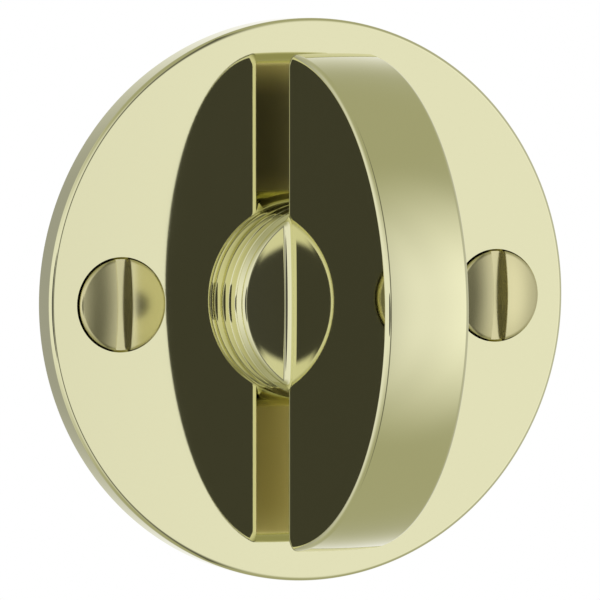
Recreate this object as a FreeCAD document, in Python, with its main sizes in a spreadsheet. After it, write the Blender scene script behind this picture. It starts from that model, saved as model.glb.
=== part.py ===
import FreeCAD, Part
import math
import os

import Sketcher
from FreeCAD import Vector

# Bathroom thumb turn on a round rosette, in millimetres.
# The rosette's back face lies on the XZ plane with its centre at the origin.
# Y runs into the door, Z is up, and the half-moon grip stands out towards -Y.

SIZES = {
    # Rosette: a turned disc with a relieved back and a hub that enters the door
    "screw_spacing": 38.0,
    "screw_to_edge": 7.0,
    "rosette_thickness": 3.0,
    "rosette_edge_radius": 0.4,
    "rosette_back_chamfer": 0.3,
    "back_rim_width": 3.2,
    "relief_depth": 0.7,
    "hub_wall": 2.0,
    "hub_length": 5.0,
    "hub_chamfer": 0.5,
    # Thumb turn: half-moon grip, collar and journal in one casting
    "grip_radius": 23.0,
    "grip_underside_height": 3.7,
    "grip_centre_drop": 1.55,
    "grip_thickness": 8.2,
    "grip_edge_radius": 0.5,
    "grip_tip_radius": 1.2,
    "collar_cover": 0.6,
    "collar_overlap": 0.4,
    "collar_rim_radius": 0.4,
    "collar_dome_height": 0.3,
    "root_radius": 0.7,
    "journal_diameter": 12.0,
    "journal_tail": 1.3,
    "journal_chamfer": 0.4,
    "running_clearance": 0.05,
    # Two flanged bushes, pressed into the bore from the front and from the back
    "bush_wall": 1.45,
    "bush_flange_width": 0.5,
    "bush_flange_thickness": 0.8,
    "bush_seat_clearance": 0.1,
    "bush_gap": 0.9,
    "collar_lift": 0.1,
    # Flat washers, wave washer and retaining ring on the journal behind the hub
    "washer_width": 2.85,
    "washer_thickness": 0.5,
    "washer_bore_clearance": 0.15,
    "wave_width": 2.25,
    "wave_bore_clearance": 0.25,
    "wave_height": 1.1,
    "wave_thickness": 0.3,
    "wave_count": 3.0,
    "ring_groove_depth": 0.25,
    "ring_groove_clearance": 0.05,
    "ring_thickness": 1.0,
    "ring_wall": 1.8,
    "ring_taper": 0.5,
    "ring_gap": 2.4,
    "ring_lug_edge": 0.35,
    "ring_lug_wall": 0.9,
    "ring_lug_hole": 1.4,
    # Square spindle, held in the journal by a slotted spring pin
    "spindle_side": 6.0,
    "spindle_clearance": 0.05,
    "spindle_reach": 50.0,
    "spindle_chamfer": 0.6,
    "socket_depth": 15.0,
    "socket_end_gap": 0.3,
    "pin_diameter": 2.0,
    "pin_wall": 0.4,
    "pin_slit": 0.5,
    "pin_end_gap": 0.2,
    # Slotted raised countersunk wood screws
    "screw_head_diameter": 8.5,
    "screw_head_land": 0.15,
    "screw_head_sink": 0.15,
    "screw_dome_height": 1.1,
    "screw_shank_diameter": 4.5,
    "screw_hole_clearance": 0.2,
    "screw_plain_length": 5.0,
    "screw_core_diameter": 3.4,
    "screw_length": 16.0,
    "screw_point_length": 3.5,
    "screw_slot_width": 1.2,
    "screw_slot_depth": 1.4,
}

# Two places closer than this are the same one when edges are picked
SAME_PLACE = 0.001

# Points per wave on the wave washer's curves
WAVE_POINTS = 16

# Radii about the Y axis, or about a screw's own axis
screw_axis = "Sizes.screw_spacing / 2"
rosette_rim = f"{screw_axis} + Sizes.screw_to_edge"
relief_wall = f"{rosette_rim} - Sizes.back_rim_width"
journal_wall = "Sizes.journal_diameter / 2"
bush_bore = f"{journal_wall} + Sizes.running_clearance"
bush_wall = f"{bush_bore} + Sizes.bush_wall"
hub_wall = f"{bush_wall} + Sizes.hub_wall"
flange_wall = f"{bush_wall} + Sizes.bush_flange_width"
flange_seat = f"{flange_wall} + Sizes.bush_seat_clearance"
collar_wall = f"{flange_seat} + Sizes.collar_cover"
washer_bore = f"{journal_wall} + Sizes.washer_bore_clearance"
washer_wall = f"{washer_bore} + Sizes.washer_width"
wave_bore = f"{journal_wall} + Sizes.wave_bore_clearance"
wave_wall = f"{wave_bore} + Sizes.wave_width"
groove_wall = f"{journal_wall} - Sizes.ring_groove_depth"
head_wall = "Sizes.screw_head_diameter / 2"
shank_wall = "Sizes.screw_shank_diameter / 2"
core_wall = "Sizes.screw_core_diameter / 2"
hole_wall = f"{shank_wall} + Sizes.screw_hole_clearance"

# Levels along Y, measured from the rosette's back face
front = "-Sizes.rosette_thickness"
relief_floor = "-Sizes.relief_depth"
hub_end = "Sizes.hub_length"
collar_base = f"{front} - Sizes.collar_lift"
underside = f"{front} - Sizes.grip_underside_height"
collar_top = f"{underside} - Sizes.collar_overlap"
grip_centre = f"{underside} + Sizes.grip_centre_drop"
seat_floor = f"{collar_base} + Sizes.bush_flange_thickness"
pin_level = f"({seat_floor} + {hub_end}) / 2"
front_bush_end = f"{pin_level} - Sizes.bush_gap / 2"
rear_bush_start = f"{pin_level} + Sizes.bush_gap / 2"
bushes_end = f"{hub_end} + Sizes.bush_flange_thickness"
wave_start = f"{bushes_end} + Sizes.washer_thickness"
wave_end = f"{wave_start} + Sizes.wave_height"
ring_start = f"{wave_end} + Sizes.washer_thickness"
ring_end = f"{ring_start} + Sizes.ring_thickness"
groove_start = f"{ring_start} - Sizes.ring_groove_clearance"
groove_end = f"{ring_end} + Sizes.ring_groove_clearance"
journal_end = f"{groove_end} + Sizes.journal_tail"
socket_floor = f"{journal_end} - Sizes.socket_depth"
spindle_start = f"{socket_floor} + Sizes.socket_end_gap"
head_rim = f"{front} + Sizes.screw_head_sink"
cone_start = f"{head_rim} + Sizes.screw_head_land"
cone_end = f"{cone_start} + {head_wall} - {shank_wall}"
screw_tip = f"{head_rim} + Sizes.screw_length"
point_start = f"{screw_tip} - Sizes.screw_point_length"
core_start = f"Sizes.screw_plain_length + {shank_wall} - {core_wall}"

doc = FreeCAD.newDocument("ThumbTurn")
sheet = doc.addObject("Spreadsheet::Sheet", "Sizes")
for row, (alias, size) in enumerate(SIZES.items(), start=1):
    sheet.set(f"A{row}", alias)
    sheet.set(f"B{row}", str(size))
    sheet.setAlias(f"B{row}", alias)
doc.recompute()


def value(expression):
    """The number that an expression of the sheet's sizes gives."""
    return float(sheet.evalExpression(expression))


def plane(body, role):
    """One of the body's own origin planes or axes."""
    return next(item for item in body.Origin.OriginFeatures if item.Role == role)


def new_body(name):
    body = doc.addObject("PartDesign::Body", name)
    body.Label = name
    return body


def new_sketch(body, name, role, level=None):
    """A sketch on an origin plane, moved along the plane's normal to the level."""
    sketch = body.newObject("Sketcher::SketchObject", name)
    sketch.AttachmentSupport = (plane(body, role), [""])
    sketch.MapMode = "FlatFace"
    if level is not None:
        sketch.setExpression("AttachmentOffset.Base.z", level)
    return sketch


def bind(sketch, name, expression, *constraint):
    """Add a dimension to the sketch and tie it to the sheet."""
    index = sketch.addConstraint(Sketcher.Constraint(*constraint, value(expression)))
    sketch.renameConstraint(index, name)
    sketch.setExpression(f"Constraints.{name}", expression)


def segment(start, end, radius):
    """A straight side, or an arc whose centre lies left of the way from start to end."""
    if radius is None:
        return Part.LineSegment(start, end)
    half = (end - start) / 2
    rise = math.sqrt(value(radius) ** 2 - half.Length ** 2)
    side = Vector(-half.y, half.x, 0).normalize()
    centre = start + half + side * rise
    circle = Part.Circle(centre, Vector(0, 0, 1), value(radius))
    return Part.ArcOfCircle(circle, circle.parameter(start), circle.parameter(end))


def outline(sketch, corners):
    """A closed outline through corners (x, y) or (x, y, radius of the side that follows)."""
    corners = [corner if len(corner) == 3 else (*corner, None) for corner in corners]
    points = [Vector(value(x), value(y), 0) for x, y, _ in corners]
    first = sketch.GeometryCount
    for index, (_, _, radius) in enumerate(corners):
        end = points[(index + 1) % len(points)]
        sketch.addGeometry(segment(points[index], end, radius), False)
    for index, (x, y, radius) in enumerate(corners):
        side = first + index
        following = first + (index + 1) % len(points)
        sketch.addConstraint(Sketcher.Constraint("Coincident", side, 2, following, 1))
        bind(sketch, f"across{side}", x, "DistanceX", -1, 1, side, 1)
        bind(sketch, f"along{side}", y, "DistanceY", -1, 1, side, 1)
        if radius is not None:
            bind(sketch, f"radius{side}", radius, "Radius", side)


def box(sketch, left, right, bottom, top):
    outline(sketch, [(left, bottom), (right, bottom), (right, top), (left, top)])


def circle(sketch, across, along, diameter):
    index = sketch.GeometryCount
    centre = Vector(value(across), value(along), 0)
    sketch.addGeometry(Part.Circle(centre, Vector(0, 0, 1), value(diameter) / 2), False)
    bind(sketch, f"across{index}", across, "DistanceX", -1, 1, index, 3)
    bind(sketch, f"along{index}", along, "DistanceY", -1, 1, index, 3)
    bind(sketch, f"width{index}", diameter, "Diameter", index)


def revolve(body, kind, name, corners, axis_at=None):
    """Turn an outline of (radius, level along Y) about Y, or about a line beside it."""
    sketch = new_sketch(body, f"{name}_outline", "XY_Plane")
    outline(sketch, corners)
    axis = "V_Axis"
    if axis_at is not None:
        ends = Vector(value(axis_at), 0, 0), Vector(value(axis_at), 1, 0)
        line = sketch.addGeometry(Part.LineSegment(*ends), True)
        sketch.addConstraint(Sketcher.Constraint("Vertical", line))
        bind(sketch, "axis_across", axis_at, "DistanceX", -1, 1, line, 1)
        axis = "Axis0"
    feature = body.newObject(f"PartDesign::{kind}", name)
    feature.Profile = sketch
    feature.ReferenceAxis = (sketch, [axis])
    feature.Angle = 360
    return feature


def extrude(body, kind, name, sketch, length=None, both_ways=False, flip=False):
    """Pad or pocket a sketch over a length, or cut through all where none is given."""
    feature = body.newObject(f"PartDesign::{kind}", name)
    feature.Profile = sketch
    if length is None:
        feature.Type = "ThroughAll"
    else:
        feature.setExpression("Length", length)
    feature.Midplane = both_ways
    feature.Reversed = flip
    return feature


def round_edges(body, kind, name, size, chosen):
    """Fillet or chamfer the edges of the body's last feature that the test picks."""
    doc.recompute()
    base = body.Tip
    edges = [
        f"Edge{number}"
        for number, edge in enumerate(base.Shape.Edges, start=1)
        if chosen(edge)
    ]
    if not edges:
        raise RuntimeError(f"{body.Label}: {name} finds no edge")
    feature = body.newObject(f"PartDesign::{kind}", name)
    feature.Base = (base, edges)
    feature.setExpression("Radius" if kind == "Fillet" else "Size", size)
    return feature


def middle(edge):
    return edge.valueAt((edge.FirstParameter + edge.LastParameter) / 2)


def ring_at(radius, level):
    """Pick the circular edges of this radius about Y at this level."""
    wanted, place = value(radius), value(level)

    def chosen(edge):
        point = middle(edge)
        return (
            abs(math.hypot(point.x, point.z) - wanted) < SAME_PLACE
            and abs(point.y - place) < SAME_PLACE
            and abs(edge.BoundBox.YLength) < SAME_PLACE
        )

    return chosen


def make_rosette():
    """Turned disc with a relieved back, a hub, a counterbore for the bush and two holes."""
    body = new_body("rosette")
    revolve(body, "Revolution", "disc", [
        (bush_wall, hub_end),
        (bush_wall, seat_floor),
        (flange_seat, seat_floor),
        (flange_seat, front),
        (rosette_rim, front),
        (rosette_rim, "0"),
        (relief_wall, "0"),
        (relief_wall, relief_floor),
        (hub_wall, relief_floor),
        (hub_wall, hub_end),
    ])
    round_edges(body, "Fillet", "front_edge", "Sizes.rosette_edge_radius",
                ring_at(rosette_rim, front))
    round_edges(body, "Chamfer", "back_edge", "Sizes.rosette_back_chamfer",
                ring_at(rosette_rim, "0"))
    round_edges(body, "Chamfer", "hub_edge", "Sizes.hub_chamfer",
                ring_at(hub_wall, hub_end))
    mouth = f"{head_wall} + Sizes.screw_head_sink + Sizes.screw_head_land"
    hole = revolve(body, "Groove", "screw_hole", [
        (screw_axis, front),
        (f"{screw_axis} + {mouth}", front),
        (f"{screw_axis} + {hole_wall}", f"{front} + {mouth} - ({hole_wall})"),
        (f"{screw_axis} + {hole_wall}", "0"),
        (screw_axis, "0"),
    ], axis_at=screw_axis)
    pair = body.newObject("PartDesign::PolarPattern", "screw_holes")
    pair.Originals = [hole]
    pair.Axis = (plane(body, "Y_Axis"), [""])
    pair.Angle = 360
    pair.Occurrences = 2
    body.Tip = pair
    return body


def make_thumb_turn():
    """Half-moon grip that blends into its collar, with the journal behind it."""
    body = new_body("thumb_turn")
    collar_flat = f"({collar_wall} - Sizes.collar_rim_radius)"
    crown = f"{collar_top} - Sizes.collar_dome_height"
    dome_radius = (
        f"({collar_flat} ^ 2 + Sizes.collar_dome_height ^ 2) / (2 * Sizes.collar_dome_height)"
    )
    tip = "sqrt(Sizes.grip_radius ^ 2 - Sizes.grip_centre_drop ^ 2)"
    moon = new_sketch(body, "moon", "YZ_Plane")
    outline(moon, [
        (underside, f"-{tip}"),
        (underside, tip, "Sizes.grip_radius"),
        (f"{grip_centre} - Sizes.grip_radius", "0", "Sizes.grip_radius"),
    ])
    extrude(body, "Pad", "grip", moon, "Sizes.grip_thickness", both_ways=True)

    half_grip = value("Sizes.grip_thickness") / 2
    flat_side = half_grip - value("Sizes.grip_edge_radius")
    collar = value(collar_wall)
    crown_level = value(crown)
    root_bottom = value(underside)

    def is_tip(edge):
        point = middle(edge)
        return edge.BoundBox.XLength > half_grip and abs(point.z) > collar

    def is_grip_side(edge):
        return abs(abs(middle(edge).x) - half_grip) < SAME_PLACE

    def is_root(edge):
        point = middle(edge)
        level_with_root = crown_level - SAME_PLACE < point.y < root_bottom + SAME_PLACE
        on_collar = math.hypot(point.x, point.z) < collar + SAME_PLACE
        beside_grip = flat_side < abs(point.x) < half_grip + SAME_PLACE
        under_grip = abs(point.y - root_bottom) < SAME_PLACE and abs(point.x) < half_grip
        return level_with_root and on_collar and (beside_grip or under_grip)

    round_edges(body, "Fillet", "tips", "Sizes.grip_tip_radius", is_tip)
    round_edges(body, "Fillet", "grip_edges", "Sizes.grip_edge_radius", is_grip_side)
    revolve(body, "Revolution", "collar_and_journal", [
        ("0", journal_end),
        ("0", crown, dome_radius),
        (collar_flat, collar_top, "Sizes.collar_rim_radius"),
        (collar_wall, f"{collar_top} + Sizes.collar_rim_radius"),
        (collar_wall, collar_base),
        (journal_wall, collar_base),
        (journal_wall, groove_start),
        (groove_wall, groove_start),
        (groove_wall, groove_end),
        (journal_wall, groove_end),
        (journal_wall, f"{journal_end} - Sizes.journal_chamfer"),
        (f"{journal_wall} - Sizes.journal_chamfer", journal_end),
    ])
    round_edges(body, "Fillet", "root", "Sizes.root_radius", is_root)
    socket = new_sketch(body, "socket_outline", "XZ_Plane", f"-({journal_end})")
    half_socket = "Sizes.spindle_side / 2 + Sizes.spindle_clearance"
    box(socket, f"-({half_socket})", half_socket, f"-({half_socket})", half_socket)
    extrude(body, "Pocket", "socket", socket, "Sizes.socket_depth", flip=True)
    cross = new_sketch(body, "pin_hole_outline", "YZ_Plane")
    circle(cross, pin_level, "0", "Sizes.pin_diameter")
    extrude(body, "Pocket", "pin_hole", cross, "Sizes.journal_diameter", both_ways=True)
    return body


def make_bush(name, barrel, flange):
    """Flanged bush: a thin barrel in the rosette's bore and a flange against its face."""
    body = new_body(name)
    for form, wall, (start, end) in (
        ("barrel", bush_wall, barrel),
        ("flange", flange_wall, flange),
    ):
        revolve(body, "Revolution", f"{name}_{form}", [
            (bush_bore, start),
            (wall, start),
            (wall, end),
            (bush_bore, end),
        ])
    return body


def make_washer(name, start):
    """Flat washer on the journal."""
    body = new_body(name)
    revolve(body, "Revolution", f"{name}_disc", [
        (washer_bore, start),
        (washer_wall, start),
        (washer_wall, f"{start} + Sizes.washer_thickness"),
        (washer_bore, f"{start} + Sizes.washer_thickness"),
    ])
    return body


def make_wave_washer():
    """Spring washer whose ring rises and falls in even waves round the journal."""
    waves = round(value("Sizes.wave_count"))
    thickness = value("Sizes.wave_thickness")
    swing = (value("Sizes.wave_height") - thickness) / 2
    inner = value(wave_bore)
    outer = value(wave_wall)
    level = value(wave_start) + swing
    count = round(WAVE_POINTS * waves)

    def wave(radius, offset):
        points = []
        for step in range(count):
            turn = 2 * math.pi * step / count
            rise = swing * math.cos(waves * turn)
            points.append(Vector(radius * math.cos(turn), level + offset + rise,
                                 radius * math.sin(turn)))
        curve = Part.BSplineCurve()
        curve.interpolate(Points=points, PeriodicFlag=True)
        return curve.toShape()

    near = [wave(inner, 0), wave(outer, 0)]
    far = [wave(inner, thickness), wave(outer, thickness)]
    faces = [
        Part.makeRuledSurface(near[0], near[1]),
        Part.makeRuledSurface(far[0], far[1]),
        Part.makeRuledSurface(near[0], far[0]),
        Part.makeRuledSurface(near[1], far[1]),
    ]
    shell = Part.makeShell([face for ruled in faces for face in ruled.Faces])
    shell.sewShape()
    solid = Part.makeSolid(shell)
    if solid.Volume < 0:
        solid.reverse()
    washer = doc.addObject("Part::Feature", "wave_washer")
    washer.Shape = solid
    washer.Label = "wave_washer"
    return washer


def make_retaining_ring():
    """Open ring in the journal's groove, thinner towards two lugs with plier holes."""
    body = new_body("retaining_ring")
    back = f"-({ring_end})"
    bore = f"2 * ({groove_wall})"
    lug_width = "Sizes.ring_lug_hole + 2 * Sizes.ring_lug_wall"
    lug_level = f"{groove_wall} + ({lug_width}) / 2"
    lug_across = "Sizes.ring_gap / 2 + Sizes.ring_lug_edge + Sizes.ring_lug_hole / 2"

    rim = new_sketch(body, "rim_outline", "XZ_Plane", back)
    circle(rim, "0", "-Sizes.ring_taper / 2", f"{bore} + 2 * Sizes.ring_wall - Sizes.ring_taper")
    extrude(body, "Pad", "rim", rim, "Sizes.ring_thickness")
    for side, sign in (("left", "-"), ("right", "")):
        lug = new_sketch(body, f"{side}_lug_outline", "XZ_Plane", back)
        circle(lug, f"{sign}({lug_across})", lug_level, lug_width)
        extrude(body, "Pad", f"{side}_lug", lug, "Sizes.ring_thickness")
    inside = new_sketch(body, "bore_outline", "XZ_Plane", back)
    circle(inside, "0", "0", bore)
    extrude(body, "Pocket", "bore", inside, "Sizes.ring_thickness", flip=True)
    gap = new_sketch(body, "gap_outline", "XZ_Plane", back)
    box(gap, "-Sizes.ring_gap / 2", "Sizes.ring_gap / 2", "0", "Sizes.journal_diameter")
    extrude(body, "Pocket", "gap", gap, "Sizes.ring_thickness", flip=True)
    for side, sign in (("left", "-"), ("right", "")):
        hole = new_sketch(body, f"{side}_hole_outline", "XZ_Plane", back)
        circle(hole, f"{sign}({lug_across})", lug_level, "Sizes.ring_lug_hole")
        extrude(body, "Pocket", f"{side}_hole", hole, "Sizes.ring_thickness", flip=True)
    return body


def make_spindle():
    """Square bar from inside the journal to the lock case and beyond."""
    body = new_body("spindle")
    half_side = "Sizes.spindle_side / 2"
    section = new_sketch(body, "section", "XZ_Plane", "-Sizes.spindle_reach")
    box(section, f"-{half_side}", half_side, f"-{half_side}", half_side)
    extrude(body, "Pad", "bar", section, f"Sizes.spindle_reach - ({spindle_start})")
    ends = (value("Sizes.spindle_reach"), value(spindle_start))
    round_edges(body, "Chamfer", "bar_ends", "Sizes.spindle_chamfer",
                lambda edge: any(
                    abs(middle(edge).y - end) < SAME_PLACE and edge.BoundBox.YLength < SAME_PLACE
                    for end in ends
                ))
    cross = new_sketch(body, "pin_hole_outline", "YZ_Plane")
    circle(cross, pin_level, "0", "Sizes.pin_diameter")
    extrude(body, "Pocket", "pin_hole", cross, "Sizes.journal_diameter", both_ways=True)
    return body


def make_spindle_pin():
    """Slotted spring pin across the journal and the spindle, trapped by the bushes."""
    body = new_body("spindle_pin")
    length = "Sizes.journal_diameter - 2 * Sizes.pin_end_gap"
    tube = new_sketch(body, "tube_outline", "YZ_Plane")
    circle(tube, pin_level, "0", "Sizes.pin_diameter")
    circle(tube, pin_level, "0", "Sizes.pin_diameter - 2 * Sizes.pin_wall")
    extrude(body, "Pad", "tube", tube, length, both_ways=True)
    slit = new_sketch(body, "slit_outline", "YZ_Plane")
    box(slit, pin_level, f"{pin_level} + Sizes.pin_diameter",
        "-Sizes.pin_slit / 2", "Sizes.pin_slit / 2")
    extrude(body, "Pocket", "slit", slit, length, both_ways=True)
    return body


def make_screw(name, side):
    """Slotted wood screw with a domed countersunk head, upright slot and bare core."""
    body = new_body(name)
    dome_top = f"{head_rim} - Sizes.screw_dome_height"
    dome_radius = (
        f"(({head_wall}) ^ 2 + Sizes.screw_dome_height ^ 2) / (2 * Sizes.screw_dome_height)"
    )
    revolve(body, "Revolution", f"{name}_shank", [
        ("0", screw_tip),
        ("0", dome_top, dome_radius),
        (head_wall, head_rim),
        (head_wall, cone_start),
        (shank_wall, cone_end),
        (shank_wall, "Sizes.screw_plain_length"),
        (core_wall, core_start),
        (core_wall, point_start),
    ])
    slot = new_sketch(body, f"{name}_slot_outline", "XY_Plane")
    half_slot = "Sizes.screw_slot_width / 2"
    box(slot, f"-{half_slot}", half_slot, f"{dome_top} - Sizes.screw_dome_height",
        f"{dome_top} + Sizes.screw_slot_depth")
    extrude(body, "Pocket", f"{name}_slot", slot, "2 * Sizes.screw_head_diameter", both_ways=True)
    body.setExpression(".Placement.Base.x", f"{side} * Sizes.screw_spacing / 2")
    return body


parts = [
    make_rosette(),
    make_thumb_turn(),
    make_bush("front_bush", (seat_floor, front_bush_end), (collar_base, seat_floor)),
    make_bush("rear_bush", (rear_bush_start, hub_end), (hub_end, bushes_end)),
    make_washer("thrust_washer", bushes_end),
    make_wave_washer(),
    make_washer("ring_washer", wave_end),
    make_retaining_ring(),
    make_spindle(),
    make_spindle_pin(),
    make_screw("fixing_screw_left", -1),
    make_screw("fixing_screw_right", 1),
]
doc.recompute()

for item in doc.Objects:
    if "Invalid" in item.State or "Error" in item.State:
        raise RuntimeError(f"{item.Name} did not recompute: {item.State}")
for part in parts:
    if part.Shape.isNull() or not part.Shape.isValid() or len(part.Shape.Solids) != 1:
        raise RuntimeError(f"{part.Label} is not one valid solid")

os.makedirs("parts", exist_ok=True)
for part in parts:
    part.Shape.exportStep(f"parts/{part.Label}.step")
    print(part.Label, round(part.Shape.Volume, 2), "cubic millimetres")
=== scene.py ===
"""Looks of a bathroom thumb turn lock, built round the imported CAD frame.

Lengths inside the script are millimetres in the frame's axes: the rosette's back face is the
XZ plane, Y runs into the door and Z is up. A mesh is scaled to metres as it is made.
"""

import logging
import math
from dataclasses import dataclass
from enum import Enum
from typing import Sequence

import bmesh
import bpy
import numpy as np
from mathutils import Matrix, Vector

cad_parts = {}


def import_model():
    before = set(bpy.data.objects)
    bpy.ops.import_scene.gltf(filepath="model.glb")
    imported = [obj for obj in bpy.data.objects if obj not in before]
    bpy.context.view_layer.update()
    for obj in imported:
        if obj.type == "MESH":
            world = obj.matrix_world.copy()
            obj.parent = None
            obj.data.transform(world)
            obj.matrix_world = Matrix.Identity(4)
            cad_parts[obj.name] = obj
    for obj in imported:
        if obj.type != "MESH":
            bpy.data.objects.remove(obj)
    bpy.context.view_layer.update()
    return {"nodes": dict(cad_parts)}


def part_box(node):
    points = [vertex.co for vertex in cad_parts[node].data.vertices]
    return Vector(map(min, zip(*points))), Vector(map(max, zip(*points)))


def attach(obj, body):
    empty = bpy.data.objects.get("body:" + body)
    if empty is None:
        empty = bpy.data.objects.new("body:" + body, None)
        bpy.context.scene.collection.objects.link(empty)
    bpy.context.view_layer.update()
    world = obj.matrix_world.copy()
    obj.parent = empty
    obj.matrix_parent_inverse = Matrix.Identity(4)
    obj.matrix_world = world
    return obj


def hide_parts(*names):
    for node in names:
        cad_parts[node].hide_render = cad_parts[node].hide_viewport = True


LOG = logging.getLogger("thumb_turn")

MM = 0.001

# Corners sharper than this stay crisp in the shading
CRISP_ANGLE = math.radians(28)

# Share of a step that a round's first and last points stand in, so that flats beside it shade flat
LEAD = 0.04

# Points closer together than this, in millimetres, are one
MERGE_WITHIN = 0.0005

# Steps on a large round and on a small one, and across the grip's band or the collar's dome
ROUND_STEPS = 12
SMALL_ROUND_STEPS = 6
BAND_STEPS = 24

# Least angle in radians that a crown arc can have
NEARLY_FLAT = 1e-5

# Sizes of a flat side's outline, row by row, with a row close to the edge for the shading
SIDE_ROWS = np.array([1, 0.999, 0])

# Mirrors of a point left to right and top to bottom
MIRROR_X = np.array([-1, 1, 1])
MIRROR_Z = np.array([1, 1, -1])


class Body(Enum):
    """The two moving groups of the frame."""

    DOOR_SIDE = "door_side"
    TURN = "turn"


class Slot(Enum):
    """The record's material slots."""

    ROSETTE = "rosette_brass"
    TURN = "turn_brass"
    SCREW = "screw_brass"
    BUSH = "bush_plastic"
    WASHER = "washer_steel"
    SPRING = "spring_steel"
    SPINDLE = "spindle_steel"


def sweep(steps: int) -> np.ndarray:
    """Shares from 0 to 1 along a round, in even steps with a short lead at both ends.

    Args:
        steps: Number of even steps.

    Returns:
        The shares, two more than an even division has.
    """
    even = np.linspace(0, 1, steps + 1)
    return np.sort(np.concatenate([even, [LEAD / steps, 1 - LEAD / steps]]))


def stack(*parts: np.ndarray) -> np.ndarray:
    """Broadcast x, y and z to one grid and stack them as points."""
    return np.stack(np.broadcast_arrays(*parts), axis=-1).astype(float)


def unit(vectors: np.ndarray) -> np.ndarray:
    """Vectors of length one along the last axis."""
    return vectors / np.linalg.norm(vectors, axis=-1, keepdims=True)


@dataclass(frozen=True)
class Corner:
    """A corner of a turned profile.

    Attributes:
        radius: Distance from the axis.
        level: Place along Y.
        rounding: Radius of the round that takes the corner's place.
    """

    radius: float
    level: float
    rounding: float = 0.0


def profile(corners: Sequence[Corner], steps: int = SMALL_ROUND_STEPS) -> np.ndarray:
    """Line through the corners, with each rounded one replaced by a tangent arc.

    The arc's centre lies on the corner's bisector at rounding / sin(half angle), and its two
    ends lie at rounding / tan(half angle) from the corner.

    Args:
        corners: The profile's corners in order.
        steps: Steps on each arc.

    Returns:
        Points (radius, level) in order.
    """
    places = np.array([(corner.radius, corner.level) for corner in corners], float)
    pieces = [places[:1]]
    for index, corner in enumerate(corners[1:-1], start=1):
        if corner.rounding == 0:
            pieces.append(places[index : index + 1])
            continue
        back = unit(places[index - 1] - places[index])
        on = unit(places[index + 1] - places[index])
        half = math.acos(float(np.clip(back @ on, -1, 1))) / 2
        centre = places[index] + unit(back + on) * corner.rounding / math.sin(half)
        reach = corner.rounding / math.tan(half)
        start = places[index] + back * reach - centre
        end = places[index] + on * reach - centre
        pieces.append(centre + arc_between(start, end, sweep(steps)))
    pieces.append(places[-1:])
    return np.concatenate(pieces)


def arc_between(start: np.ndarray, end: np.ndarray, shares: np.ndarray) -> np.ndarray:
    """Turn a vector evenly into another of the same length.

    Args:
        start: First vector, or an array of them.
        end: Last vector, or an array of them.
        shares: Shares of the turn.

    Returns:
        The vectors, with the shares on the axis before the last.
    """
    start, end = start[..., None, :], end[..., None, :]
    length = np.linalg.norm(start, axis=-1, keepdims=True)
    cosine = np.sum(start * end, axis=-1, keepdims=True) / length**2
    angle = np.arccos(np.clip(cosine, -1, 1))
    share = shares[:, None]
    return (np.sin((1 - share) * angle) * start + np.sin(share * angle) * end) / np.sin(angle)


def lathe(
    outline: np.ndarray, angles: np.ndarray, axis_at: float = 0.0, square: int = 0
) -> np.ndarray:
    """Turned surface: x = axis + r cos(a), z = r sin(a), y = level.

    The last rows may be square instead, where r is the half side / max(|cos a|, |sin a|).

    Args:
        outline: Points (radius, level).
        angles: Turn angles, the last one equal to the first plus a full turn.
        axis_at: The axis's place along X.
        square: Number of rows at the end that are square.

    Returns:
        Grid of points, one row for each outline point.
    """
    radius = np.repeat(outline[:, :1], len(angles), axis=1)
    if square:
        flat = np.maximum(np.abs(np.cos(angles)), np.abs(np.sin(angles)))
        radius[-square:] /= flat
    level = outline[:, 1:]
    return stack(axis_at + radius * np.cos(angles), level, radius * np.sin(angles))


def full_turn(count: int) -> np.ndarray:
    """Even angles round a full turn, with both ends."""
    return np.linspace(0, 2 * math.pi, count + 1)


def grid_faces(rows: int, columns: int) -> np.ndarray:
    """Four-cornered faces of a grid whose points are numbered row by row."""
    row, column = np.meshgrid(np.arange(rows - 1), np.arange(columns - 1), indexing="ij")
    first = (row * columns + column).ravel()
    return np.stack([first, first + 1, first + columns + 1, first + columns], axis=1)


def make_piece(name: str, grids: Sequence[np.ndarray]) -> bpy.types.Object:
    """One object from point grids in millimetres, closed where their borders meet.

    Args:
        name: The object's name.
        grids: Arrays of rows by columns by three.

    Returns:
        The object, in metres, with outward faces and crisp corners.
    """
    points = np.concatenate([grid.reshape(-1, 3) for grid in grids]) * MM
    starts = np.cumsum([0] + [grid.shape[0] * grid.shape[1] for grid in grids[:-1]])
    faces = np.concatenate(
        [grid_faces(*grid.shape[:2]) + start for grid, start in zip(grids, starts)]
    )
    mesh = bpy.data.meshes.new(name)
    mesh.vertices.add(len(points))
    mesh.vertices.foreach_set("co", points.astype(np.float32).ravel())
    mesh.loops.add(faces.size)
    mesh.loops.foreach_set("vertex_index", faces.astype(np.int32).ravel())
    mesh.polygons.add(len(faces))
    mesh.polygons.foreach_set("loop_start", np.arange(0, faces.size, 4, dtype=np.int32))
    mesh.update(calc_edges=True)
    close_mesh(mesh)
    mesh.shade_smooth()
    mesh.set_sharp_from_angle(angle=CRISP_ANGLE)
    piece = bpy.data.objects.new(name, mesh)
    bpy.context.scene.collection.objects.link(piece)
    return piece


def stand_in(
    name: str, grids: Sequence[np.ndarray], body: Body, node: str
) -> bpy.types.Object:
    """Make a piece that rides on a body and takes the place of a CAD node.

    Args:
        name: The object's name.
        grids: Its point grids in millimetres.
        body: The body that it rides on.
        node: The CAD node that it replaces.

    Returns:
        The object.
    """
    piece = make_piece(name, grids)
    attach(piece, body.value)
    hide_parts(node)
    return piece


def close_mesh(mesh: bpy.types.Mesh) -> None:
    """Merge the points that grids share and turn every face outwards."""
    work = bmesh.new()
    work.from_mesh(mesh)
    bmesh.ops.remove_doubles(work, verts=work.verts, dist=MERGE_WITHIN * MM)
    bmesh.ops.recalc_face_normals(work, faces=work.faces)
    work.to_mesh(mesh)
    work.free()


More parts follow.
